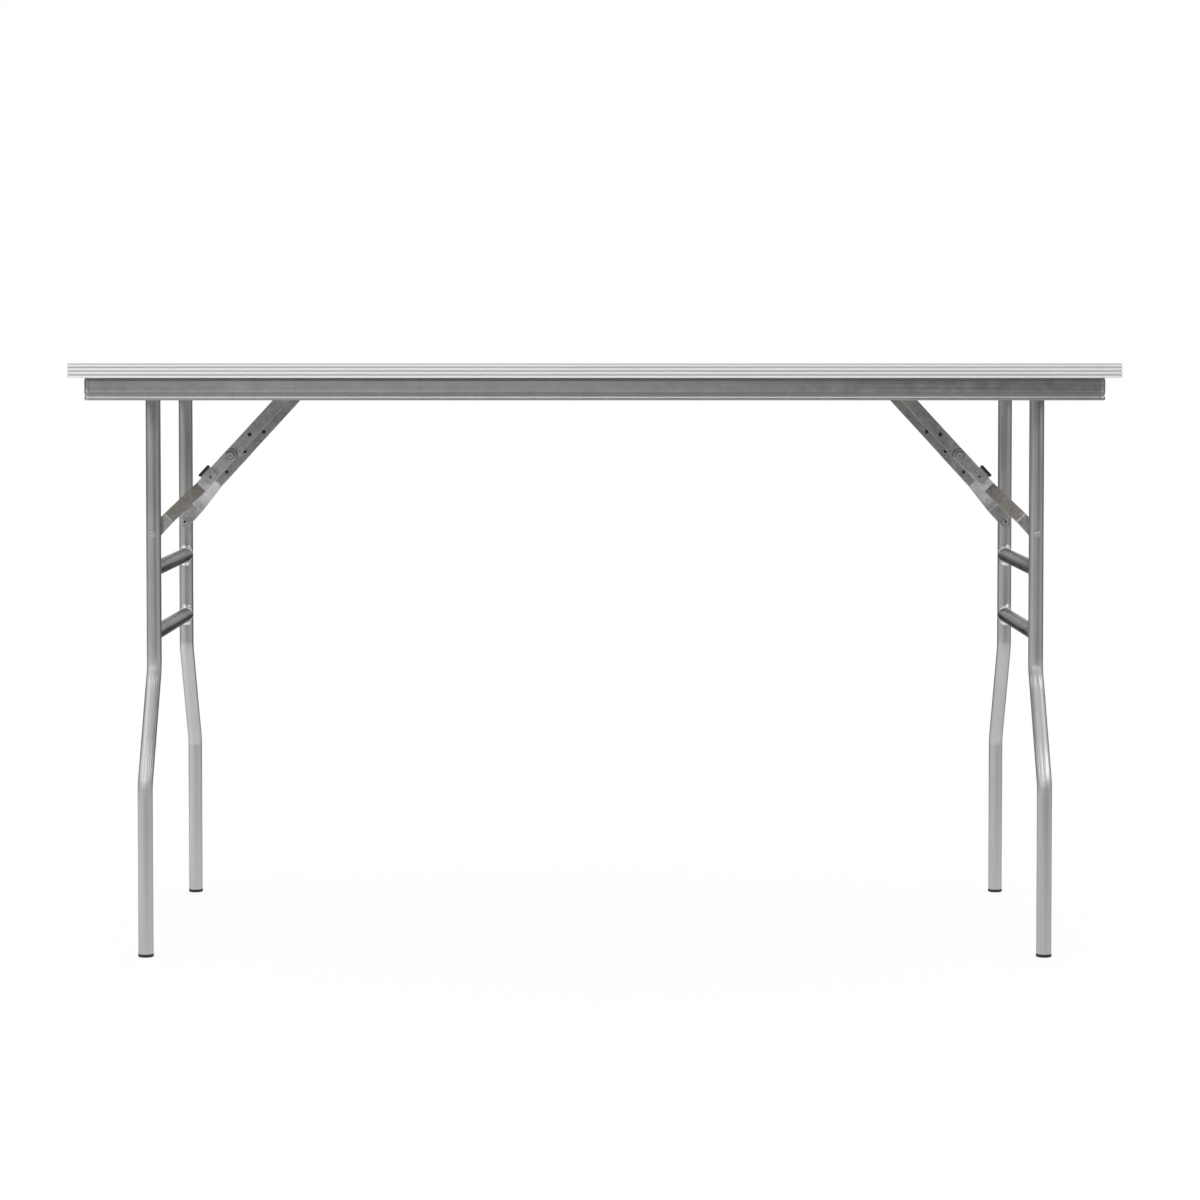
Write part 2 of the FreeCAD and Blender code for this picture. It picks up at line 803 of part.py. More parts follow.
for side_name, side in SIDES.items():
    pieces[side_name + "_pivot_bar"] = pivot_bar(side)
    pieces[side_name + "_upper_crossbar"] = crossbar(side, upper_crossbar_height)
    pieces[side_name + "_lower_crossbar"] = crossbar(side, lower_crossbar_height)
    pieces[side_name + "_strut_rod"] = strut_rod(side)
    strut_rivets = []
    knuckle_heads = []
    link_rivets = []
    for end_name, end in ENDS.items():
        pieces[f"{side_name}_leg_{end_name}"] = leg(side, end)
        pieces[f"{side_name}_foot_cap_{end_name}"] = foot_cap(side, end)
        pieces[f"{side_name}_upper_link_{end_name}"] = upper_link(side, end)
        pieces[f"{side_name}_lower_link_{end_name}"] = lower_link(side, end)
        lever = latch_lever(side, end)
        pieces[f"{side_name}_latch_lever_{end_name}"] = lever
        pieces[f"{side_name}_latch_grip_{end_name}"] = latch_grip(side, end, lever)
        strut_rivets.append(strut_rivet(side, end))
        knuckle_heads.append(knuckle_inner_half(side, end))
        link_rivets.append(knuckle_outer_half(side, end))
        link_rivets.append(latch_pin(side, end))
    pieces[side_name + "_strut_rivets"] = Part.makeCompound(strut_rivets)
    pieces[side_name + "_knuckle_heads"] = Part.makeCompound(knuckle_heads)
    pieces[side_name + "_link_rivets"] = Part.makeCompound(link_rivets)

os.makedirs("parts", exist_ok=True)
for name, shape in pieces.items():
    if not shape.isValid():
        raise ValueError(name + " is not a valid shape")
    shape.exportStep(f"parts/{name}.step")
print(len(pieces), "pieces")
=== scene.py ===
import json
import math
import bmesh
import bpy
from mathutils import Matrix, Vector


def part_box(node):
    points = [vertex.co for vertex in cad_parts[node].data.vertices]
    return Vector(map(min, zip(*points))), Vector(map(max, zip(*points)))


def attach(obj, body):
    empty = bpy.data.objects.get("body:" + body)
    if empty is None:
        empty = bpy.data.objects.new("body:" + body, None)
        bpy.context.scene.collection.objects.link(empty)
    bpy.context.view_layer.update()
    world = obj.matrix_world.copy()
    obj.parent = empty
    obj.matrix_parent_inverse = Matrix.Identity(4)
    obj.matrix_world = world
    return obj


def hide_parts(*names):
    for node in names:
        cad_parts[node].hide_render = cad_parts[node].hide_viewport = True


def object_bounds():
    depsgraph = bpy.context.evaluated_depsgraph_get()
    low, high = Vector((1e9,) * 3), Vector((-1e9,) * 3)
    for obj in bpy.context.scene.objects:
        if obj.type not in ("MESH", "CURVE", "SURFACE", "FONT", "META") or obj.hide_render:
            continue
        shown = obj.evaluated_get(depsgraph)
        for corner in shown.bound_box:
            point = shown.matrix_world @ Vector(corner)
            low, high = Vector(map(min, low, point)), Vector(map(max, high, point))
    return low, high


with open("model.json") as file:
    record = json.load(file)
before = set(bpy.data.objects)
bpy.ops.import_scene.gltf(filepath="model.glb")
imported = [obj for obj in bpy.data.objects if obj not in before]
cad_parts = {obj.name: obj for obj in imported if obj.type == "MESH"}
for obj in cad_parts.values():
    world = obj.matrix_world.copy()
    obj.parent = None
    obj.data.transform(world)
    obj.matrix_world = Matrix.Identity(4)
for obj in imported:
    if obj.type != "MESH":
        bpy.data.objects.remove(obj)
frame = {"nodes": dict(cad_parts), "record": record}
cad_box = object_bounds()
nodes = frame["nodes"]
slot_of = {item["node"]: item["material_slot"] for item in frame["record"]["subparts"]}
SIDES = {"left": -1, "right": 1}
ENDS = {"front": -1, "rear": 1}
UP = Vector((0, 0, 1))
REARWARD = Vector((0, 1, 0))

# Camera, fitted to the photograph's 1200 pixel frame
camera_place = Vector((0.0065, -4.253, 0.7495))
camera_pitch = math.radians(2.1)
focal_length_mm = 95.5
sensor_mm = 36.0
camera_shift_up = -0.0995

# Edging, in metres
edging_depth = 0.005
edging_corner_radius = 0.004
edging_mitre = math.radians(45)
rib_count = 4
rib_crown = 0.0006
groove_width = 0.0016
groove_depth = 0.001
lip_height = 0.001
lip_depth = 0.0012

# Apron, in metres, with the share of the neck's height up to which its bead gets painted shade
apron_inset = 0.018
apron_thickness = 0.0015
apron_face_height = 0.018
apron_brow_height = 0.004
apron_brow_depth = 0.0008
apron_neck_height = 0.0045
apron_step = 0.0008
apron_bend_radius = 0.008
apron_bend = math.radians(90)
apron_return = 0.012
apron_flange = 0.018
shaded_bead_share = 0.4

# Leg frames, in metres
tube_radius = 0.0095
tube_wall = 0.0015
tube_segments = 56
crank_top_height = 0.357
crank_bottom_height = 0.217
crank_bend_radius = 0.028
foot_cap_height = 0.004
foot_hollow_depth = 0.0004
foot_hollow_share = 0.55
foot_tread_share = 0.6
foot_lower_edge = ((0.0009, 0), (0.0002, 0.0005), (0, 0.0012))
foot_upper_edge = ((0, 0.0008), (0.0001, 0.0004), (0.0004, 0))

# Weld beads: the radius in metres, and how the bead swells and ripples in shares of it
weld_radius = 0.0022
weld_swell = 1.8
weld_ripple = 0.12
weld_ripple_count = 26
weld_wave = 0.2
weld_wave_count = 3
weld_wave_step = 1.7
weld_saddle_share = 0.15

# Strut links, in metres
link_width = 0.016
link_hole_distance = 0.037
link_hole_radius = 0.0025
lower_link_knuckle_flat = 0.058
lower_link_leg_flat = 0.026
link_bend_half = 0.0012
sheet_chamfer = 0.0003
plate_segments = 48
ROUND = (0, 0)

# Rivets, in metres
rivet_foot = 0.0003
knuckle_washer_radius = 0.0072
knuckle_washer_thickness = 0.0008
knuckle_washer_rim = ((0, 0.4), (0.25, 0.75), (0.75, 1))
knuckle_head_radius = 0.005
knuckle_head_rise = 0.0011
knuckle_hollow_radius = 0.0013
knuckle_groove_width = 0.0008
knuckle_groove_radius = knuckle_head_radius + knuckle_groove_width
knuckle_tail_radius = 0.00375
knuckle_tail_rise = 0.0013
knuckle_tail_hollow = 0.0019
leg_head_radius = 0.00475
leg_head_rise = 0.0024
leg_head_sink = 0.0002
leg_tail_radius = 0.0045
leg_tail_rise = 0.0016
leg_tail_hollow = 0.0015

# Latches, in metres: edges are measured across the strut, from its middle line
latch_distance = 0.038
latch_low_edge = -0.005
latch_high_edge = 0.0115
latch_half_length = 0.009
latch_corner_radius = 0.004
grip_low_edge = 0.0092
grip_high_edge = 0.0131
grip_half_length = 0.0095
grip_corner_radius = 0.0017
grip_chamfer = 0.0008
latch_pin_radius = 0.0025
latch_pin_clearance = 0.0001
latch_pin_proud = 0.0004
latch_pin_edge = 0.0001
latch_pin_flange = 0.0008
latch_pin_flange_thickness = 0.0005
latch_pin_outer_bore = 0.0015
latch_pin_inner_bore = 0.0021
latch_pin_bore_depth = 0.0016


def centre(node_name):
    low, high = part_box(node_name)
    return (low + high) / 2


def extent(node_name):
    low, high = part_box(node_name)
    return high - low


def reach_of(node_name):
    """Nearest and farthest distance of a node from the table's middle plane."""
    low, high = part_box(node_name)
    return min(abs(low.y), abs(high.y)), max(abs(low.y), abs(high.y))


table_low, table_high = cad_box
table_height = table_high.z
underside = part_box("top_panel")[0].z
top_length = table_high.x - table_low.x
top_width = table_high.y - table_low.y
rib_height = (table_height - underside - lip_height - (rib_count - 1) * groove_width) / rib_count
rib_pitch = rib_height + groove_width
apron_length = top_length - 2 * apron_inset
apron_width = top_width - 2 * apron_inset
apron_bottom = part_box("apron_front")[0].z
apron_crease = underside - apron_face_height
apron_neck = apron_crease - apron_neck_height
leg_reach = extent("left_upper_crossbar").y / 2
foot_reach = abs(centre("left_foot_cap_front").y)


class Value:
    """A shader socket that takes part in sums: every operator adds one Math node."""

    def __init__(self, finish, socket):
        self.finish = finish
        self.socket = socket

    def combine(self, operation, first, second=0.0):
        return self.finish.node("ShaderNodeMath", {"operation": operation}, {0: first, 1: second})

    def __add__(self, other):
        return self.combine("ADD", self, other)

    def __radd__(self, other):
        return self.combine("ADD", other, self)

    def __sub__(self, other):
        return self.combine("SUBTRACT", self, other)

    def __rsub__(self, other):
        return self.combine("SUBTRACT", other, self)

    def __mul__(self, other):
        return self.combine("MULTIPLY", self, other)

    def __rmul__(self, other):
        return self.combine("MULTIPLY", other, self)

    def __abs__(self):
        return self.combine("ABSOLUTE", self)

    def root(self):
        return self.combine("SQRT", self)


class Finish:
    """One node material, or the world, with a method that makes any node."""

    def __init__(self, owner):
        owner.use_nodes = True
        self.owner = owner
        self.tree = owner.node_tree
        self.tree.nodes.clear()

    def node(self, kind, settings=None, inputs=None, output=0):
        made = self.tree.nodes.new(kind)
        for name, value in (settings or {}).items():
            setattr(made, name, value)
        for name, value in (inputs or {}).items():
            if isinstance(value, Value):
                self.tree.links.new(value.socket, made.inputs[name])
            else:
                made.inputs[name].default_value = value
        return Value(self, made.outputs[output]) if made.outputs else None

    def place(self, scale):
        """Object coordinates, stretched by a scale for each axis."""
        here = self.node("ShaderNodeTexCoord", output="Object")
        return self.node("ShaderNodeMapping", inputs={"Vector": here, "Scale": scale})

    def axis(self, name):
        """One object coordinate, in metres."""
        here = self.node("ShaderNodeTexCoord", output="Object")
        return self.node("ShaderNodeSeparateXYZ", inputs={"Vector": here}, output=name)

    def noise(self, scale, detail=3.0, roughness=0.55, place=None):
        where = place(self, scale) if place else self.place(scale)
        inputs = {"Vector": where, "Scale": 1.0, "Detail": detail, "Roughness": roughness}
        return self.node("ShaderNodeTexNoise", inputs=inputs)

    def stretch(self, value, low, high):
        """Value spread so that low becomes 0 and high becomes 1."""
        inputs = {"Value": value, "From Min": low, "From Max": high}
        return self.node("ShaderNodeMapRange", {"clamp": True}, inputs)

    def band(self, value, begin, end):
        """One between a soft beginning and a soft end, and 0 outside them."""
        return self.stretch(value, *begin) * (1 - self.stretch(value, *end))

    def mix(self, share, first, second):
        """Two colours mixed: sockets 6 and 7 of the Mix node hold its colours, output 2 its result."""
        return self.node("ShaderNodeMix", {"data_type": "RGBA"}, {0: share, 6: first, 7: second}, 2)

    def bump(self, height, distance, strength):
        inputs = {"Height": height, "Distance": distance, "Strength": strength}
        return self.node("ShaderNodeBump", inputs=inputs)

    def surface(self, **inputs):
        named = {name.replace("_", " "): value for name, value in inputs.items()}
        shader = self.node("ShaderNodeBsdfPrincipled", inputs=named)
        self.node("ShaderNodeOutputMaterial", inputs={"Surface": shader})
        return self.owner


def grey(level):
    return (level, level, level, 1.0)


def new_finish(name):
    return Finish(bpy.data.materials.new(name))


# Finishes: a grain is the marks per metre on each axis, a range the noise levels that give 0 and 1
along_x = (3, 420, 420)
along_y = (420, 3, 420)
along_z = (420, 420, 3)
fine_grain = (420, 420, 420)
strut_grain = (210, 210, 210)
smear_grain = (14, 14, 9)
mottle_grain = (60, 60, 60)
glint_grain = (640, 640, 3)
blotch_grain = (150, 16, 150)
mark_range = (0.35, 0.65)
soft_range = (0.3, 0.7)
smear_range = (0.35, 0.7)
glint_range = (0.52, 0.6)
blotch_range = (0.42, 0.6)

# Marks on the steel, among them painted highlights by the crank bends and painted shade by the knuckles and
# on the crossbars: distances in metres from the bend, weld or knuckle that they gather round
low_glints = ((0.006, 0.016), (0.026, 0.058))
high_glints = ((0.006, 0.012), (0.016, 0.026))
dulled_reach = (0.005, 0.016)
outer_side_depth = 0.005
leg_heat_reach = (0.008, 0.022)
leg_heat_share = 0.12
leg_heat_colour = (0.40, 0.37, 0.34, 1)
bar_darkening_reach = (0.16, 0.02)
bar_darkening_share = 0.7
bar_darkening_colour = (0.20, 0.19, 0.18, 1)
shadow_and_grease_reach = (0.0003, 0.0022)
shadow_and_grease_share = 0.8
shadow_and_grease_colour = grey(0.07)


def straight_reach(finish, height):
    """Distance from the table's middle plane, with the legs' crank taken out."""
    cranked = finish.stretch(0 - height, -crank_top_height, -crank_bottom_height)
    return abs(finish.axis("Y")) - cranked * (foot_reach - leg_reach)


def place_on_leg(finish, scale):
    """Object coordinates with the legs' crank taken out, so that drawing marks follow the tubes."""
    height = finish.axis("Z")
    reach = straight_reach(finish, height)
    straight = finish.node("ShaderNodeCombineXYZ", inputs={"X": finish.axis("X"), "Y": reach, "Z": height})
    return finish.node("ShaderNodeMapping", inputs={"Vector": straight, "Scale": scale})


def crank_highlights_and_dulling(finish):
    """Shares of the painted highlight lines on the cranks' outer sides beside the bends, and of the dulled
    bends.
    """
    height = finish.axis("Z")
    above_foot = height - crank_bottom_height
    below_head = crank_top_height - height
    highlight_bands = finish.band(above_foot, *low_glints) + finish.band(below_head, *high_glints)
    outer_side = finish.stretch(straight_reach(finish, height) - leg_reach, 0, outer_side_depth)
    lines = finish.stretch(finish.noise(glint_grain, detail=0.5, place=place_on_leg), *glint_range)
    shiny = finish.stretch(abs(above_foot), *dulled_reach) + finish.stretch(abs(below_head), *dulled_reach)
    return lines * outer_side * highlight_bands, (2 - shiny) * outer_side


def drawn_tube(name, grain, place, heat_share, heat_colour, dark, light, shine, highlight_and_dulling_share=None):
    """Bright tube with drawing marks, discoloured where heat_share says, with painted highlight lines and
    dulled patches where its last argument says.
    """
    finish = new_finish(name)
    marks = finish.stretch(finish.noise(grain, place=place), *mark_range)
    smears = finish.stretch(finish.noise(smear_grain), *smear_range)
    plain = finish.mix(marks * 0.5 + smears * 0.5, grey(dark), grey(light))
    colour = finish.mix(heat_share(finish), plain, heat_colour)
    roughness = shine + smears * 0.06 + marks * 0.04
    if highlight_and_dulling_share:
        glints, dulled = highlight_and_dulling_share(finish)
        # painted highlight: near-white lines on the cranks beside the bends
        colour = finish.mix(glints, colour, grey(0.95))
        roughness = roughness - glints * 0.16 + dulled * 0.16
    lines = finish.stretch(finish.noise(grain, detail=0.5, place=place), *soft_range)
    normal = finish.bump(lines, distance=0.0004, strength=0.5)
    return finish.surface(
        Base_Color=colour, Metallic=1.0, Roughness=roughness, Normal=normal, Specular_Tint=grey(0.5)
    )


def weld_heat_on_legs(finish):
    """Browning of the legs at the height of each crossbar."""
    height = finish.axis("Z")
    share = 0.0
    for bar in ("left_upper_crossbar", "left_lower_crossbar"):
        away = abs(height - centre(bar).z)
        share = (1 - finish.stretch(away, *leg_heat_reach)) * leg_heat_share + share
    return share


def heat_tint_and_dark_reflection_on_bars(finish):
    """Darkening of the crossbars' last stretch before the legs, in blotches: heat tint by the welds and
    painted dark reflection along the stretch.
    """
    # painted dark reflection in blotches, mixed with heat tint by the welds
    blotches = finish.stretch(finish.noise(blotch_grain), *blotch_range)
    darkening_start, darkening_full = [leg_reach - distance for distance in bar_darkening_reach]
    nearness = finish.stretch(abs(finish.axis("Y")), darkening_start, darkening_full)
    return nearness * blotches * bar_darkening_share


def knuckle_shadow_and_grease(finish):
    """Dark ring on the upper links' outer faces round the lower links' ends: painted shadow of those ends,
    with old grease.
    """
    knuckle = centre("right_knuckle_heads")
    near, far = reach_of("right_upper_link_front")
    across = abs(finish.axis("X")) - knuckle.x
    upward = finish.axis("Z") - knuckle.z
    away = (across * across + upward * upward).root()
    dark_ring_inner, dark_ring_outer = [link_width / 2 + distance for distance in shadow_and_grease_reach]
    # painted shadow of the lower links' ends, with old grease
    ring = 1 - finish.stretch(away, dark_ring_inner, dark_ring_outer)
    return ring * finish.stretch(abs(finish.axis("Y")), near, far) * shadow_and_grease_share


def drawn_steel(name, grain, dark, light, shine, shade_and_dirt_share=None):
    """Dull plated sheet steel with rolling marks along its grain, a faint mottle and any painted shade and
    dirt that its last argument gives.
    """
    finish = new_finish(name)
    marks = finish.stretch(finish.noise(grain), *mark_range)
    mottle = finish.stretch(finish.noise(mottle_grain, detail=4.0, roughness=0.6), *soft_range)
    colour = finish.mix(marks * 0.5 + mottle * 0.5, grey(dark), grey(light))
    if shade_and_dirt_share:
        # dark ring of painted shadow and grease, where the share says
        colour = finish.mix(shade_and_dirt_share(finish), colour, shadow_and_grease_colour)
    roughness = shine + mottle * 0.08 + marks * 0.05
    normal = finish.bump(marks, distance=0.0001, strength=0.02)
    return finish.surface(Base_Color=colour, Metallic=1.0, Roughness=roughness, Normal=normal)


def weld_metal():
    finish = new_finish("weld_metal")
    scale = finish.stretch(finish.noise(fine_grain, detail=4.0), *mark_range)
    colour = finish.mix(scale, (0.64, 0.63, 0.61, 1), grey(0.88))
    normal = finish.bump(scale, distance=0.0004, strength=0.3)
    return finish.surface(Base_Color=colour, Metallic=1.0, Roughness=0.24 + scale * 0.12, Normal=normal)


def ribbed_aluminium(name, grain, dark, light):
    finish = new_finish(name)
    marks = finish.stretch(finish.noise(grain), *mark_range)
    colour = finish.mix(marks, grey(dark), grey(light))
    return finish.surface(Base_Color=colour, Metallic=0.3, Roughness=0.42 + marks * 0.1)


def pale_laminate():
    finish = new_finish("pale_laminate")
    speckle = finish.stretch(finish.noise(fine_grain, detail=2.0), 0.46, 0.62)
    cloud = finish.stretch(finish.noise((6, 6, 6)), *soft_range)
    flecks = finish.stretch(finish.noise((260, 260, 260), detail=1.0), 0.62, 0.68)
    ground = finish.mix(speckle * 0.75 + cloud * 0.25, (0.70, 0.69, 0.66, 1), (0.56, 0.55, 0.52, 1))
    colour = finish.mix(flecks * 0.6, ground, (0.36, 0.35, 0.33, 1))
    normal = finish.bump(speckle, distance=0.0001, strength=0.15)
    return finish.surface(Base_Color=colour, Roughness=0.42 + speckle * 0.08, Normal=normal)


def birch_plywood():
    finish = new_finish("birch_plywood")
    figure = finish.stretch(finish.noise((1.5, 26, 26), detail=5.0, roughness=0.6), *soft_range)
    pores = finish.stretch(finish.noise((18, 900, 900), detail=2.0), 0.4, 0.62)
    colour = finish.mix(figure * 0.75 + pores * 0.25, (0.50, 0.45, 0.39, 1), (0.62, 0.56, 0.49, 1))
    normal = finish.bump(pores, distance=0.0002, strength=0.12)
    return finish.surface(Base_Color=colour, Roughness=0.5 + figure * 0.1, Normal=normal)


def moulded_black(name, level, roughness):
    finish = new_finish(name)
    grain = finish.noise((1500, 1500, 1500), detail=2.0)
    scuffs = finish.stretch(finish.noise((160, 160, 160)), 0.55, 0.75)
    colour = finish.mix(scuffs * 0.4, grey(level), grey(level * 2.2))
    normal = finish.bump(grain, distance=0.0001, strength=0.2)
    return finish.surface(Base_Color=colour, Roughness=roughness + scuffs * 0.12, Normal=normal)


finishes = {
    "laminate": pale_laminate(),
    "plywood": birch_plywood(),
    "leg_tube": drawn_tube(
        "leg_tube_steel", along_z, place_on_leg, weld_heat_on_legs, leg_heat_colour,
        dark=0.48, light=0.57, shine=0.3, highlight_and_dulling_share=crank_highlights_and_dulling,
    ),
    # the crossbars are the legs' tube steel painted darker: painted shade
    "crossbar": drawn_tube(
        "crossbar_steel_painted_darker", along_y, None, heat_tint_and_dark_reflection_on_bars, bar_darkening_colour,
        dark=0.37, light=0.50, shine=0.24,
    ),
    "weld": weld_metal(),
    "strut": drawn_steel("strut_steel", strut_grain, dark=0.33, light=0.58, shine=0.32),
    "upper_link": drawn_steel(
        "upper_link_steel", strut_grain, dark=0.33, light=0.58, shine=0.32, shade_and_dirt_share=knuckle_shadow_and_grease
    ),
    "fastener": drawn_steel("fastener_steel", (200, 200, 200), dark=0.38, light=0.50, shine=0.42),
    "black_plastic": moulded_black("black_grip_plastic", level=0.012, roughness=0.38),
    "black_rubber": moulded_black("black_foot_rubber", level=0.016, roughness=0.6),
    # near-black finish for bores, rivet hollows, ring grooves and hole plugs: painted shade
    "painted_bore_shade": moulded_black("painted_bore_shade", level=0.02, roughness=0.7),
}
for long_way, length, grain in (("x", "long", along_x), ("y", "short", along_y)):
    for kind, name, dark, light in (
        ("edging_", "edging_aluminium_", 0.86, 0.92),
        ("groove_", "edging_groove_shade_", 0.52, 0.60),
        ("seam_", "edging_seam_shade_", 0.44, 0.52),
    ):
        finishes[kind + long_way] = ribbed_aluminium(name + length, grain, dark, light)
    # one apron steel in three tones: the darker neck copy and the dimmed bead copy are painted shade
    for kind, name, dark, light, shine in (
        ("apron_", "apron_steel_", 0.50, 0.62, 0.16),
        ("apron_neck_", "apron_neck_", 0.27, 0.34, 0.26),
        ("apron_bead_", "apron_bead_", 0.42, 0.52, 0.2),
    ):
        finishes[kind + long_way] = drawn_steel(name + length, grain, dark, light, shine)
finish_of_slot = {
    "laminate": "laminate",
    "plywood": "plywood",
    "leg_steel": "leg_tube",
    "strut_steel": "strut",
    "fastener_steel": "fastener",
    "black_plastic": "black_plastic",
    "black_rubber": "black_rubber",
    "edging_aluminium": "edging_x",
    "apron_steel": "apron_x",
}
for node_name, node in nodes.items():
    node.data.materials.clear()
    node.data.materials.append(finishes[finish_of_slot[slot_of[node_name]]])


# Modelling steps
def points_in(geometry):
    return [item for item in geometry if isinstance(item, bmesh.types.BMVert)]


def edges_in(geometry):
    return [item for item in geometry if isinstance(item, bmesh.types.BMEdge)]


def edges_of(points):
    return list({edge for point in points for edge in point.link_edges})


def push(bm, edges, way):
    """Extrudes an edge loop along a vector and returns the new loop."""
    made = bmesh.ops.extrude_edge_only(bm, edges=edges)["geom"]
    points = set(points_in(made))
    bmesh.ops.translate(bm, verts=list(points), vec=way)
    return [edge for edge in edges_in(made) if points.issuperset(edge.verts)]


def swing(bm, edges, pivot, axis, angle, steps):
    """Spins an edge loop round an axis and returns the new loop."""
    made = bmesh.ops.spin(bm, geom=edges, cent=pivot, axis=axis, angle=angle, steps=steps)
    return edges_in(made["geom_last"])


def newer(bm, before):
    return [point for point in bm.verts if point not in before]


def standing(place, way):
    """Matrix that puts a shape on a place and turns its Z to a way."""
    return Matrix.Translation(place) @ UP.rotation_difference(way).to_matrix().to_4x4()


def frame_matrix(x_way, y_way, z_way, place):
    turn = Matrix((x_way, y_way, z_way)).transposed().to_4x4()
    return Matrix.Translation(place) @ turn


def lathe(bm, profile, base, way, steps=40):
    """Turns (radius, height) points into a round solid that stands on base and points along way."""
    before = set(bm.verts)
    chain = [bm.verts.new((radius, 0, height)) for radius, height in profile]
    edges = [bm.edges.new(pair) for pair in zip(chain, chain[1:])]
    bmesh.ops.spin(bm, geom=chain + edges, axis=UP, angle=math.tau, steps=steps, use_merge=True)
    bmesh.ops.remove_doubles(bm, verts=newer(bm, before), dist=1e-6)
    bmesh.ops.transform(bm, matrix=standing(base, way), verts=newer(bm, before))


def dome(radius, height, steps=7):
    """Profile of a low round head, from its rim to its crown."""
    ball = (radius ** 2 + height ** 2) / (2 * height)
    sweep = math.asin(radius / ball)
    turns = [sweep * step / steps for step in range(steps, -1, -1)]
    return [(ball * math.sin(turn), height - ball + ball * math.cos(turn)) for turn in turns]


def edge_loop(bm, radius, middle, reach):
    """Circle in the XY plane, pulled apart into a slot or a rounded rectangle by its reach."""
    turn = Matrix.Rotation(math.pi / plate_segments, 4, "Z")
    points = bmesh.ops.create_circle(bm, segments=plate_segments, radius=radius, matrix=turn)["verts"]
    for point in points:
        x, y, z = point.co
        point.co = (
            x + math.copysign(reach[0], x) + middle[0],
            y + math.copysign(reach[1], y) + middle[1],
            z,
        )
    return edges_of(points)


def grow(edges, middle, reach, change):
    """Moves a loop made by edge_loop outward by a distance."""
    for point in {point for edge in edges for point in edge.verts}:
        x = point.co.x - middle[0]
        y = point.co.y - middle[1]
        way = Vector((x - math.copysign(reach[0], x), y - math.copysign(reach[1], y), 0))
        point.co += way.normalized() * change


def plate(bm, outline, holes, thickness, chamfer):
    """Flat plate on the XY plane with broken edges: outline and holes are (radius, middle, reach)."""
    lower = []
    upper = []
    for way, (radius, middle, reach) in [(-1, outline)] + [(1, hole) for hole in holes]:
        loop = edge_loop(bm, radius + way * chamfer, middle, reach)
        lower += loop
        steps = ((chamfer, -way * chamfer), (thickness - 2 * chamfer, 0), (chamfer, way * chamfer))
        for rise, change in steps:
            loop = push(bm, loop, (0, 0, rise))
            grow(loop, middle, reach, change)
        upper += loop
    bmesh.ops.triangle_fill(bm, use_beauty=True, edges=lower)
    bmesh.ops.triangle_fill(bm, use_beauty=True, edges=upper)


def keep_piece(name, bm, body, finish_names, replaced=(), crease=35):
    """Turns a bmesh into a finished piece that rides on a body and stands for the replaced nodes."""
    bmesh.ops.recalc_face_normals(bm, faces=bm.faces)
    mesh = bpy.data.meshes.new(name)
    bm.to_mesh(mesh)
    bm.free()
    mesh.shade_smooth()
    mesh.set_sharp_from_angle(angle=math.radians(crease))
    for finish_name in finish_names:
        mesh.materials.append(finishes[finish_name])
    made = bpy.data.objects.new(name, mesh)
    bpy.context.scene.collection.objects.link(made)
    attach(made, body)
    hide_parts(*replaced)


# Table top: ribbed edging and the apron
def run_strip(bm, section, half_straight, pivot_y, corner_angle, tail):
    """Runs a section, drawn at the left end of the front side, along X and round both corners."""
    corner_steps = 8
    far = push(bm, section, (2 * half_straight, 0, 0))
    for way, loop in ((-1, section), (1, far)):
        if corner_angle:
            pivot = (way * half_straight, pivot_y, 0)
            loop = swing(bm, loop, pivot, UP, way * corner_angle, corner_steps)
        if tail:
            loop = push(bm, loop, (0, tail, 0))
        bmesh.ops.edgeloop_fill(bm, edges=loop)


def section_loop(bm, x, front_y, places):
    """Closed loop through (depth, height) points, with depth measured inward from the front."""
    corners = [bm.verts.new((x, front_y + depth, height)) for depth, height in places]
    return [bm.edges.new(pair) for pair in zip(corners, corners[1:] + corners[:1])]


def turn_to_side(bm, degrees):
    bmesh.ops.rotate(bm, verts=bm.verts, matrix=Matrix.Rotation(math.radians(degrees), 3, "Z"))


def shares_of(steps):
    return [step / steps for step in range(steps + 1)]


def edging_places():
    """Section of the edging: crowned ribs, square grooves between them, a set-back lip and a flat back."""
    crest = shares_of(8)
    places = []
    for rib in range(rib_count):
        foot = underside + rib * rib_pitch
        if rib:
            places.append((groove_depth, foot))
        places += [(rib_crown * (2 * share - 1) ** 2, foot + share * rib_height) for share in crest]
        if rib < rib_count - 1:
            places.append((groove_depth, foot + rib_height))
    lip = [(lip_depth, table_height - lip_height), (lip_depth, table_height)]
    return places + lip + [(edging_depth, table_height), (edging_depth, underside)]


def edging_strip(name, length, width, turn, long_way):
    """Edging of one side, mitred at its rounded corners, with painted shade in its grooves and on the
    set-back seam on top.
    """
    bm = bmesh.new()
    half_straight = length / 2 - edging_corner_radius
    section = section_loop(bm, -half_straight, -width / 2, edging_places())
    run_strip(bm, section, half_straight, edging_corner_radius - width / 2, edging_mitre, 0)
    groove_margin = groove_width / 8
    for face in bm.faces:
        height = face.calc_center_median().z - underside
        in_groove = height % rib_pitch > rib_height - groove_margin
        in_seam = height > table_height - underside - lip_height
        # painted shade: darker copies of the aluminium in the grooves and on the seam
        face.material_index = 2 if in_seam else int(in_groove)
    turn_to_side(bm, turn)
    finish_names = [kind + long_way for kind in ("edging_", "groove_", "seam_")]
    keep_piece("ribbed_" + name, bm, "table_top", finish_names, [name])


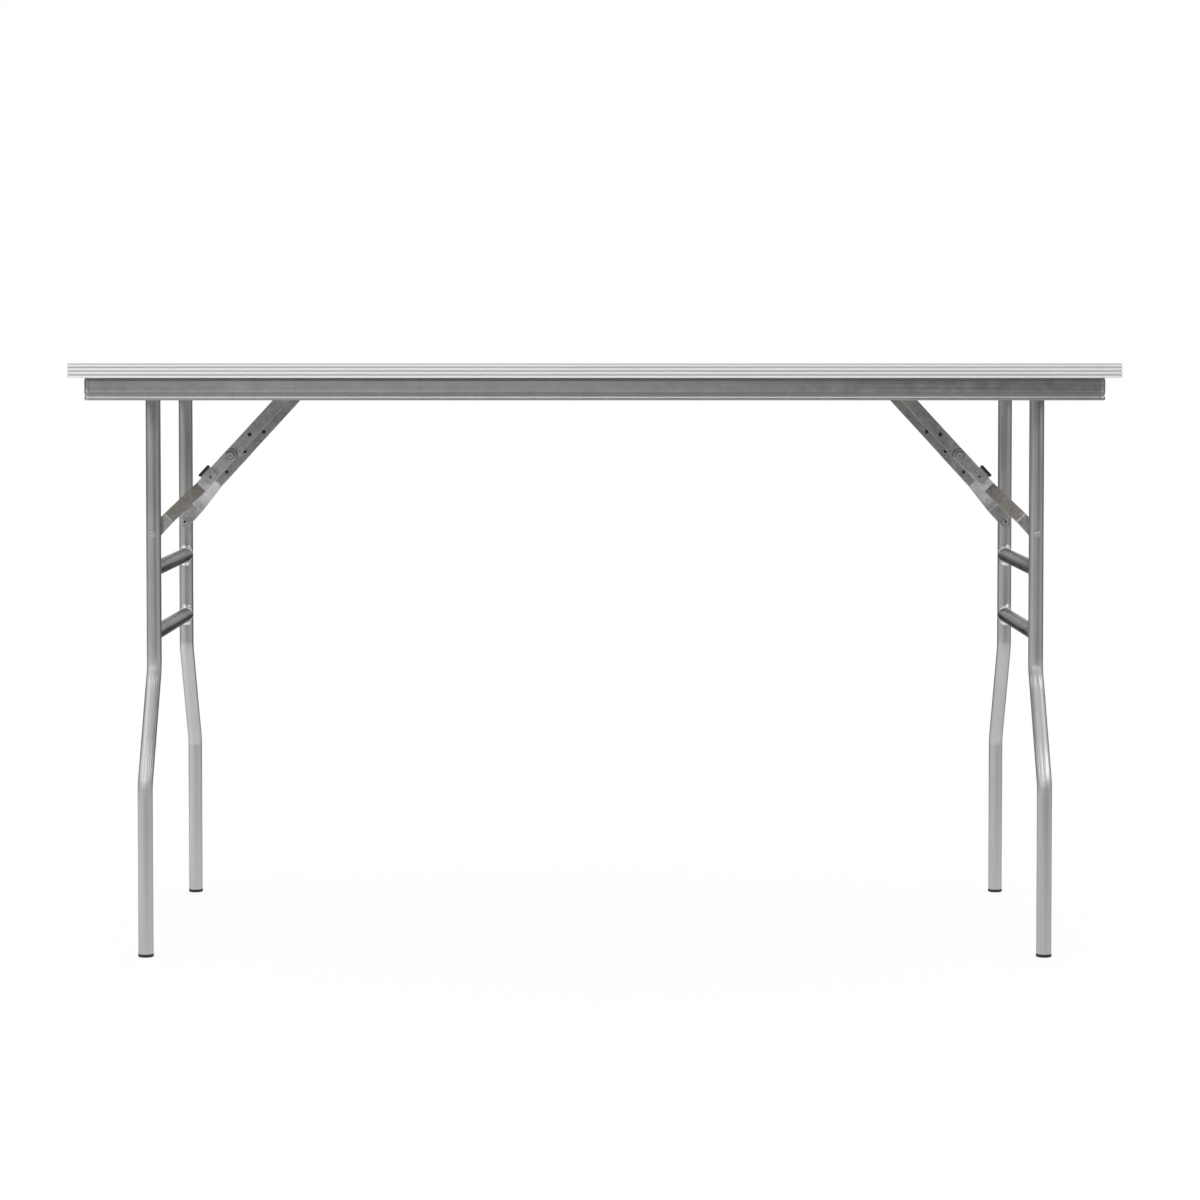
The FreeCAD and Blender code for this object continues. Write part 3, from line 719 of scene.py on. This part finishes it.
def apron_places():
    """Section of the apron: leaning brow, flat face, a neck that slants in, a bead flush with the face."""
    drop = apron_neck - apron_bottom
    half = apron_thickness / 2
    bead = (drop ** 2 + half ** 2) / (2 * drop)
    middle_depth = apron_step + half
    middle_height = apron_bottom + bead
    opening = math.asin(half / bead)
    steps = 20
    turns = [opening + (math.tau - 2 * opening) * step / steps for step in range(steps + 1)]
    roll = [
        (middle_depth * (1 - math.sin(turn)), middle_height + bead * math.cos(turn)) for turn in turns
    ]
    inside = [(apron_thickness, apron_crease), (apron_thickness, underside)]
    brow = [
        (apron_brow_depth * (1 - share) ** 2, underside - share * apron_brow_height)
        for share in shares_of(6)
    ]
    return brow + [(0, apron_crease)] + roll + inside


def apron_rail(name, length, width, turn, long_way, bent):
    """Rail with a flange under the panel: a bent one turns back round both corners."""
    bm = bmesh.new()
    half_straight = extent(name)["xy".index(long_way)] / 2
    if bent:
        half_straight = length / 2 - apron_bend_radius
    section = section_loop(bm, -half_straight, -width / 2, apron_places())
    bend = apron_bend if bent else 0
    tail = apron_return - apron_bend_radius if bent else 0
    run_strip(bm, section, half_straight, apron_bend_radius - width / 2, bend, tail)
    flange_size = (2 * (half_straight - apron_flange), apron_flange, apron_thickness)
    flange_y = apron_thickness + apron_flange / 2 - width / 2
    place = Matrix.Translation((0, flange_y, underside - apron_thickness / 2))
    bmesh.ops.create_cube(bm, size=1.0, matrix=place @ Matrix.Diagonal((*flange_size, 1)))
    bmesh.ops.recalc_face_normals(bm, faces=bm.faces)
    for face in bm.faces:
        height = face.calc_center_median().z
        in_neck = apron_neck < height < apron_crease
        in_brow = height > underside - apron_brow_height
        in_bead = height <= apron_neck
        below_bead = height < apron_bottom + shaded_bead_share * apron_neck_height
        # painted shade on the neck, on the brow under the edging and on the bead's lower part
        dark = in_neck or in_brow or below_bead
        face.material_index = 1 if dark else 2 * int(in_bead)
    turn_to_side(bm, turn)
    finish_names = [kind + long_way for kind in ("apron_", "apron_neck_", "apron_bead_")]
    keep_piece("rolled_" + name, bm, "table_top", finish_names, [name], crease=25)


for end, turn in (("front", 0), ("rear", 180)):
    edging_strip("edging_" + end, top_length, top_width, turn, "x")
    apron_rail("apron_" + end, apron_length, apron_width, turn, "x", True)
for end, turn in (("right", 90), ("left", -90)):
    edging_strip("edging_" + end, top_width, top_length, turn, "y")
    apron_rail("apron_" + end, apron_width, apron_length, turn, "y", False)


# Leg frames
def tube_loop(bm, place, way):
    matrix = standing(place, way)
    ring = bmesh.ops.create_circle(bm, segments=tube_segments, radius=tube_radius, matrix=matrix)
    return edges_of(ring["verts"])


def leg_tube(side, end):
    """Leg that runs straight down, cranks outward and goes straight down to its cap."""
    name = f"{side}_leg_{end}"
    cap = f"{side}_foot_cap_{end}"
    pivot = centre(side + "_pivot_bar")
    top_y = ENDS[end] * leg_reach
    foot_y = centre(cap).y
    route = [
        Vector((pivot.x, top_y, pivot.z)),
        Vector((pivot.x, top_y, crank_top_height)),
        Vector((pivot.x, foot_y, crank_bottom_height)),
        Vector((pivot.x, foot_y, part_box(cap)[0].z + foot_cap_height)),
    ]
    bend_steps = 14
    bm = bmesh.new()
    here = route[0]
    loop = tube_loop(bm, here, Vector((0, 0, -1)))
    bmesh.ops.edgeloop_fill(bm, edges=loop)
    for before, corner, after in zip(route, route[1:], route[2:]):
        arriving = (corner - before).normalized()
        leaving = (after - corner).normalized()
        turn = arriving.angle(leaving)
        bend_start = corner - arriving * crank_bend_radius * math.tan(turn / 2)
        inward = (leaving - arriving * arriving.dot(leaving)).normalized()
        loop = push(bm, loop, bend_start - here)
        bend_middle = bend_start + inward * crank_bend_radius
        loop = swing(bm, loop, bend_middle, arriving.cross(leaving), turn, bend_steps)
        here = corner + leaving * crank_bend_radius * math.tan(turn / 2)
    loop = push(bm, loop, route[-1] - here)
    bmesh.ops.edgeloop_fill(bm, edges=loop)
    keep_piece("smooth_" + name, bm, side + "_leg_frame", ["leg_tube"], [name])


def straight_bar(side, bar):
    """Straight tube along Y with open ends."""
    name = f"{side}_{bar}"
    bm = bmesh.new()
    low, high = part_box(name)
    middle = centre(name)
    loop = tube_loop(bm, Vector((middle.x, low.y, middle.z)), REARWARD)
    push(bm, loop, (0, high.y - low.y, 0))
    bmesh.ops.recalc_face_normals(bm, faces=bm.faces)
    bmesh.ops.solidify(bm, geom=bm.faces[:], thickness=tube_wall)
    keep_piece("smooth_" + name, bm, side + "_leg_frame", ["crossbar"], [name])


def weld_bead(bm, joint, bar_way, post_way, phase):
    """Rippled bead along the seam where a tube meets another of the same size."""
    before = set(bm.verts)
    lie = Matrix.Translation((tube_radius, 0, 0)) @ Matrix.Rotation(math.radians(90), 4, "X")
    ring = bmesh.ops.create_circle(bm, segments=12, radius=weld_radius, matrix=lie)["verts"]
    bmesh.ops.spin(bm, geom=edges_of(ring), axis=UP, angle=math.tau, steps=96, use_merge=True)
    for point in newer(bm, before):
        turn = math.atan2(point.co.y, point.co.x)
        spine = Vector((math.cos(turn), math.sin(turn), 0)) * tube_radius
        swell = weld_swell * math.cos(turn) ** 4
        ripple = weld_ripple * math.sin(weld_ripple_count * turn)
        wave = weld_wave * math.sin(weld_wave_count * turn + phase)
        tuck = weld_radius * math.sin(turn) ** 2
        point.co = spine * (1 - tuck / tube_radius) + (point.co - spine) * (1 + swell + ripple + wave)
        point.co.z -= tube_radius * math.hypot(math.cos(turn), weld_saddle_share)
    matrix = frame_matrix(post_way, bar_way.cross(post_way), bar_way, joint)
    bmesh.ops.transform(bm, matrix=matrix, verts=newer(bm, before))


def frame_welds(side):
    """Beads where the crossbars meet the legs and the legs meet the pivot bar."""
    bm = bmesh.new()
    phase = 0.0
    for way in ENDS.values():
        outward = REARWARD * way
        for bar in ("upper_crossbar", "lower_crossbar"):
            phase += weld_wave_step
            weld_bead(bm, centre(f"{side}_{bar}") + outward * leg_reach, outward, UP, phase)
        weld_bead(bm, centre(side + "_pivot_bar") + outward * leg_reach, UP, REARWARD, phase)
    keep_piece(side + "_welds", bm, side + "_leg_frame", ["weld"], crease=60)


def foot_ferrule(side, end):
    """Cap with a shallow hollow underneath and rounded edges."""
    name = f"{side}_foot_cap_{end}"
    rim = extent(name).x / 2
    height = foot_cap_height
    tread = [
        (0, foot_hollow_depth), (rim * foot_hollow_share, foot_hollow_depth), (rim * foot_tread_share, 0)
    ]
    lower_edge = [(rim - inset, rise) for inset, rise in foot_lower_edge]
    upper_edge = [(rim - inset, height - drop) for inset, drop in foot_upper_edge]
    bm = bmesh.new()
    base = Vector((centre(name).x, centre(name).y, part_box(name)[0].z))
    lathe(bm, tread + lower_edge + upper_edge + [(0, height)], base, UP, tube_segments)
    keep_piece("moulded_" + name, bm, side + "_leg_frame", ["black_rubber"], [name])


for side in SIDES:
    for end in ENDS:
        leg_tube(side, end)
        foot_ferrule(side, end)
    for bar in ("pivot_bar", "upper_crossbar", "lower_crossbar"):
        straight_bar(side, bar)
    frame_welds(side)


# Folding struts and latches
def strut_ways(side):
    """Ways down a strut, from its rod to the leg, and across it to its upper edge."""
    down = (centre(side + "_strut_rivets") - centre(side + "_strut_rod")).normalized()
    return down, Vector((-SIDES[side] * down.z, 0, SIDES[side] * down.x))


def set_down(bm, side, end, near):
    """Puts a piece on its strut: X down the strut, Y to its upper edge, Z outward, from its knuckle."""
    down, edge = strut_ways(side)
    outward = REARWARD * ENDS[end]
    place = centre(side + "_knuckle_heads") + outward * near
    bmesh.ops.transform(bm, matrix=frame_matrix(down, edge, outward, place), verts=bm.verts)


def upper_link(side, end):
    """Flat link with a round hole, and a dark plug of half its thickness in the hole, painted shade for the
    dark inside of the hole.
    """
    name = f"{side}_upper_link_{end}"
    half = (centre(side + "_knuckle_heads") - centre(side + "_strut_rod")).length / 2
    near, far = reach_of(name)
    hole = (link_hole_radius, (-link_hole_distance, 0), ROUND)
    bm = bmesh.new()
    plate(bm, (link_width / 2, (-half, 0), (half, 0)), [hole], far - near, sheet_chamfer)
    set_down(bm, side, end, near)
    keep_piece("flat_" + name, bm, side + "_upper_links", ["upper_link"], [name])
    # plug of painted shade in the hole
    bm = bmesh.new()
    plate(bm, hole, [], (far - near) / 2, sheet_chamfer)
    set_down(bm, side, end, (3 * near + far) / 4)
    keep_piece(f"{side}_hole_shade_plug_{end}", bm, side + "_upper_links", ["painted_bore_shade"])


def eased(distance):
    """Zero before a bend and the distance after it, rounded across the bend."""
    if distance < -link_bend_half:
        return 0.0
    if distance > link_bend_half:
        return distance
    return (distance + link_bend_half) ** 2 / (4 * link_bend_half)


def lower_link(side, end):
    """Link that lies flat at the knuckle and slants out to the leg."""
    name = f"{side}_lower_link_{end}"
    length = (centre(side + "_strut_rivets") - centre(side + "_knuckle_heads")).length
    near, far = reach_of(name)
    thickness = extent(f"{side}_upper_link_{end}").y
    bm = bmesh.new()
    pin_hole = (latch_pin_radius, (latch_distance, 0), ROUND)
    plate(bm, (link_width / 2, (length / 2, 0), (length / 2, 0)), [pin_hole], thickness, sheet_chamfer)
    slant_start = lower_link_knuckle_flat
    slant_end = length - lower_link_leg_flat
    slope = (far - near - thickness) / (slant_end - slant_start)
    lead = math.tan(math.atan(slope) / 2)
    cuts = 8
    first_cut = 1.5 * link_bend_half
    cut_span = 2.5 * link_bend_half
    for bend in (slant_start, slant_end):
        for cut in range(cuts + 1):
            place = bend - first_cut + cut_span * cut / cuts
            geometry = bm.verts[:] + bm.edges[:] + bm.faces[:]
            bmesh.ops.bisect_plane(bm, geom=geometry, plane_co=(place, 0, 0), plane_no=(1, 0, 0), dist=1e-6)
    for point in bm.verts:
        here = point.co.x + lead * point.co.z
        point.co.z += slope * (eased(here - slant_start) - eased(here - slant_end))
    set_down(bm, side, end, near)
    keep_piece("bent_" + name, bm, side + "_lower_links", ["strut"], [name])


def rivet_on(bm, profile, place, way):
    """Lathes a head's profile with a flat foot."""
    lathe(bm, [(0, 0), (profile[0][0], 0)] + profile, place, way)


def rolled_head(radius, hollow, foot, rise):
    """Profile of a rivet head that is rolled over round a hollow."""
    roll = (radius - hollow) / 2
    steps = 8
    turns = [math.pi * step / steps for step in range(steps + 1)]
    rolled = [(radius - roll + roll * math.cos(turn), foot + rise * math.sin(turn)) for turn in turns]
    return rolled + [(hollow, rivet_foot), (0, rivet_foot)]


def knuckle_profile():
    """Washer with a rounded rim, a ring groove, and a rolled rivet head in its middle."""
    thick = knuckle_washer_thickness
    rim = [(knuckle_washer_radius - thick * inset, thick * rise) for inset, rise in knuckle_washer_rim]
    groove = [
        (knuckle_groove_radius, thick),
        (knuckle_groove_radius - thick / 8, rivet_foot),
        (knuckle_head_radius, rivet_foot),
    ]
    return rim + groove + rolled_head(knuckle_head_radius, knuckle_hollow_radius, thick, knuckle_head_rise)


def paint_shade_ring(bm, base, way, inner, outer, top):
    """Gives the painted shade finish to a rivet's faces between two radii and below a height."""
    for face in bm.faces:
        offset = face.calc_center_median() - base
        rise = offset.dot(way)
        if 0 < rise < top and inner < (offset - way * rise).length < outer:
            face.material_index = 1


def strut_rivets(side):
    """Rivets of both struts of a side, sorted by the body that they ride on, with painted shade in their
    hollows and knuckle grooves.
    """
    knuckle = centre(side + "_knuckle_heads")
    leg_rivet = centre(side + "_strut_rivets")
    tail = rolled_head(knuckle_tail_radius, knuckle_tail_hollow, rivet_foot, knuckle_tail_rise)
    leg_head = dome(leg_head_radius, leg_head_rise)
    leg_tail = rolled_head(leg_tail_radius, leg_tail_hollow, rivet_foot, leg_tail_rise)
    groove_top = knuckle_washer_thickness * 0.9
    inner_tails = bmesh.new()
    link_outer = bmesh.new()
    leg_heads = bmesh.new()
    for end, way in ENDS.items():
        outward = REARWARD * way
        upper_near, upper_far = reach_of(f"{side}_upper_link_{end}")
        lower_near, lower_far = reach_of(f"{side}_lower_link_{end}")
        thickness = upper_far - upper_near
        tail_place = knuckle + outward * upper_near
        rivet_on(inner_tails, tail, tail_place, -outward)
        paint_shade_ring(inner_tails, tail_place, -outward, 0, knuckle_tail_hollow, knuckle_tail_rise / 2)
        head_place = knuckle + outward * (lower_near + thickness)
        rivet_on(link_outer, knuckle_profile(), head_place, outward)
        # painted shade in the knuckle head's ring groove
        paint_shade_ring(
            link_outer, head_place, outward, knuckle_head_radius, knuckle_groove_radius, groove_top
        )
        latch_pin(link_outer, side, end, lower_near)
        leg_head_place = leg_rivet + outward * (leg_reach + tube_radius - leg_head_sink)
        rivet_on(leg_heads, leg_head, leg_head_place, outward)
        leg_tail_place = leg_rivet + outward * (lower_far - thickness)
        rivet_on(leg_heads, leg_tail, leg_tail_place, -outward)
        paint_shade_ring(leg_heads, leg_tail_place, -outward, 0, leg_tail_hollow, leg_tail_rise / 2)
    for name, rivets, body, node_name in (
        ("_knuckle_rivets", inner_tails, "_upper_links", "_knuckle_heads"),
        ("_outer_rivets", link_outer, "_lower_links", "_link_rivets"),
        ("_leg_rivets", leg_heads, "_leg_frame", "_strut_rivets"),
    ):
        keep_piece(side + name, rivets, side + body, ["fastener", "painted_bore_shade"], [side + node_name])


def latch_pin(bm, side, end, near):
    """Rivet of the latch, hollow at both ends, with painted shade in its bores."""
    outward = REARWARD * ENDS[end]
    length = reach_of(f"{side}_latch_lever_{end}")[1] - near + latch_pin_proud
    shank = latch_pin_radius
    rim = latch_pin_radius + latch_pin_flange
    inner = latch_pin_inner_bore
    outer = latch_pin_outer_bore
    edge = latch_pin_edge
    flange = length - latch_pin_flange_thickness
    deep = latch_pin_bore_depth
    profile = [
        (0, deep), (inner, deep), (inner, edge), (inner + edge, 0), (shank, 0),
        (shank, flange), (rim, flange), (rim, length - edge), (rim - edge, length),
        (outer + edge, length), (outer, length - edge), (outer, length - deep), (0, length - deep),
    ]
    before = set(bm.verts)
    base = centre(side + "_knuckle_heads") + strut_ways(side)[0] * latch_distance + outward * near
    lathe(bm, profile, base, outward)
    bore_margin = 0.99
    for face in {face for point in newer(bm, before) for face in point.link_faces}:
        offset = face.calc_center_median() - base
        away = offset - outward * offset.dot(outward)
        bore = inner if offset.dot(outward) < length / 2 else outer
        # painted shade on the faces inside both bores
        face.material_index = int(away.length < bore * bore_margin)


def latch_outline(low_edge, high_edge, half_length, corner):
    """Rounded rectangle at the latch's place on the strut, as a plate's outline."""
    middle = (latch_distance, (low_edge + high_edge) / 2)
    return corner, middle, (half_length - corner, (high_edge - low_edge) / 2 - corner)


def latch(side, end):
    """Lever on the latch pin, and the grip on its upper edge."""
    lever = f"{side}_latch_lever_{end}"
    grip = f"{side}_latch_grip_{end}"
    body = f"{side}_{end}_latch"
    near, far = reach_of(lever)
    outline = latch_outline(latch_low_edge, latch_high_edge, latch_half_length, latch_corner_radius)
    pin_hole = (latch_pin_radius + latch_pin_clearance, (latch_distance, 0), ROUND)
    bm = bmesh.new()
    plate(bm, outline, [pin_hole], far - near, sheet_chamfer)
    set_down(bm, side, end, near)
    keep_piece("stamped_" + lever, bm, body, ["strut"], [lever])
    near, far = reach_of(grip)
    outline = latch_outline(grip_low_edge, grip_high_edge, grip_half_length, grip_corner_radius)
    bm = bmesh.new()
    plate(bm, outline, [], far - near, grip_chamfer)
    set_down(bm, side, end, near)
    keep_piece("moulded_" + grip, bm, body, ["black_plastic"], [grip])


for side in SIDES:
    strut_rivets(side)
    for end in ENDS:
        upper_link(side, end)
        lower_link(side, end)
        latch(side, end)


# Studio: places in metres, strengths as shares of plain white
floor_front = -2.7
floor_rear = 1.1
floor_half_width = 5.0
floor_glow = 1.075
floor_glow_share = 0.75
floor_dimming = 0.575
room_level = 0.42
overhead_level = 0.8
upper_side_level = 0.7
rear_level = 0.6


def light_path(finish, ray):
    return finish.node("ShaderNodeLightPath", output=ray)


def pale_floor():
    """White sheet that keeps a faint shadow, and that metal sees brighter behind and to the left."""
    bm = bmesh.new()
    bmesh.ops.create_grid(bm, x_segments=1, y_segments=1, size=1.0)
    lie = Matrix.Translation((0, (floor_front + floor_rear) / 2, 0))
    stretch = Matrix.Diagonal((floor_half_width, (floor_rear - floor_front) / 2, 1, 1))
    bmesh.ops.transform(bm, matrix=lie @ stretch, verts=bm.verts)
    mesh = bpy.data.meshes.new("floor")
    bm.to_mesh(mesh)
    bm.free()
    floor = bpy.data.objects.new("floor", mesh)
    bpy.context.scene.collection.objects.link(floor)
    finish = new_finish("pale_floor")
    camera_ray = light_path(finish, "Is Camera Ray")
    clear_ray = light_path(finish, "Is Transmission Ray")
    glossy_ray = light_path(finish, "Is Glossy Ray")
    shown = finish.stretch(camera_ray + clear_ray + glossy_ray, 0, 1) * floor_glow_share
    sideways = finish.axis("X")
    rearward = finish.axis("Y")
    depth_light = finish.stretch(rearward, -2.6, -0.9) * 0.4 + finish.stretch(rearward, -0.35, 0.05) * 0.1
    side_light = finish.stretch(0 - sideways, 0.5, 1.0) * 0.32 - finish.stretch(sideways, 0.5, 1.0) * 0.12
    strength = floor_glow + glossy_ray * (depth_light + side_light - floor_dimming)
    matt = finish.node("ShaderNodeBsdfDiffuse", inputs={"Color": grey(0.85)})
    glow = finish.node("ShaderNodeEmission", inputs={"Color": grey(1.0), "Strength": strength})
    both = finish.node("ShaderNodeMixShader", inputs={0: shown, 1: matt, 2: glow})
    finish.node("ShaderNodeOutputMaterial", inputs={"Surface": both})
    mesh.materials.append(finish.owner)


def studio_world():
    """White to the camera. Metal sees a dim room, darker to both sides and lighter above and behind."""
    world = bpy.data.worlds.new("studio")
    bpy.context.scene.world = world
    finish = Finish(world)
    way = finish.node("ShaderNodeTexCoord", output="Generated")
    x, y, z = [
        finish.node("ShaderNodeSeparateXYZ", inputs={"Vector": way}, output=name) for name in ("X", "Y", "Z")
    ]
    camera_ray = light_path(finish, "Is Camera Ray")
    clear_ray = light_path(finish, "Is Transmission Ray")
    shown = finish.stretch(camera_ray + clear_ray, 0, 1)
    left = finish.stretch(0 - x, 0.2, 0.5)
    right = finish.stretch(x, 0.0, 0.16)
    beside = finish.stretch(abs(x), 0.4, 0.75) * finish.stretch(z, 0.05, 0.22)
    behind = finish.stretch(y, 0.85, 0.97)
    below = finish.stretch(0 - z, -0.02, 0.06)
    above = finish.stretch(z, 0.01, 0.07)
    overhead = finish.stretch(z, 0.22, 0.65)
    level = room_level - left * 0.22 - right * 0.25
    level = level + beside * (upper_side_level - level)
    level = level + behind * (rear_level + above * 0.3 - below * 0.52 - level)
    level = level + overhead * (overhead_level - level)
    strength = shown + (1 - shown) * level
    glow = finish.node("ShaderNodeBackground", inputs={"Color": grey(1.0), "Strength": strength})
    finish.node("ShaderNodeOutputWorld", inputs={"Surface": glow})


def softbox(name, place, target, size, power):
    light = bpy.data.lights.new(name, "AREA")
    light.shape = "RECTANGLE"
    light.size, light.size_y = size
    light.energy = power
    lamp = bpy.data.objects.new(name, light)
    lamp.location = place
    lamp.rotation_euler = (Vector(target) - Vector(place)).to_track_quat("-Z", "Y").to_euler()
    bpy.context.scene.collection.objects.link(lamp)


def studio_camera():
    lens = bpy.data.cameras.new("camera")
    lens.lens = focal_length_mm
    lens.sensor_width = sensor_mm
    lens.shift_y = camera_shift_up
    lens.dof.use_dof = False
    camera = bpy.data.objects.new("camera", lens)
    camera.location = camera_place
    camera.rotation_euler = (math.radians(90) - camera_pitch, 0, 0)
    bpy.context.scene.collection.objects.link(camera)
    bpy.context.scene.camera = camera


pale_floor()
studio_world()
softbox("front_softbox", place=(-1.1, -3.9, 2.7), target=(0, 0, 0.6), size=(6.0, 2.2), power=48)
softbox("left_softbox", place=(-3.0, -1.4, 1.7), target=(-0.4, 0, 0.4), size=(2.6, 1.6), power=12)
softbox("right_softbox", place=(3.0, -1.2, 1.6), target=(0.4, 0, 0.4), size=(2.4, 1.4), power=9)
softbox("rear_softbox", place=(1.0, 3.4, 3.0), target=(0, 0, 0.6), size=(5.0, 2.6), power=44)
studio_camera()
bpy.context.scene.view_settings.view_transform = "Standard"
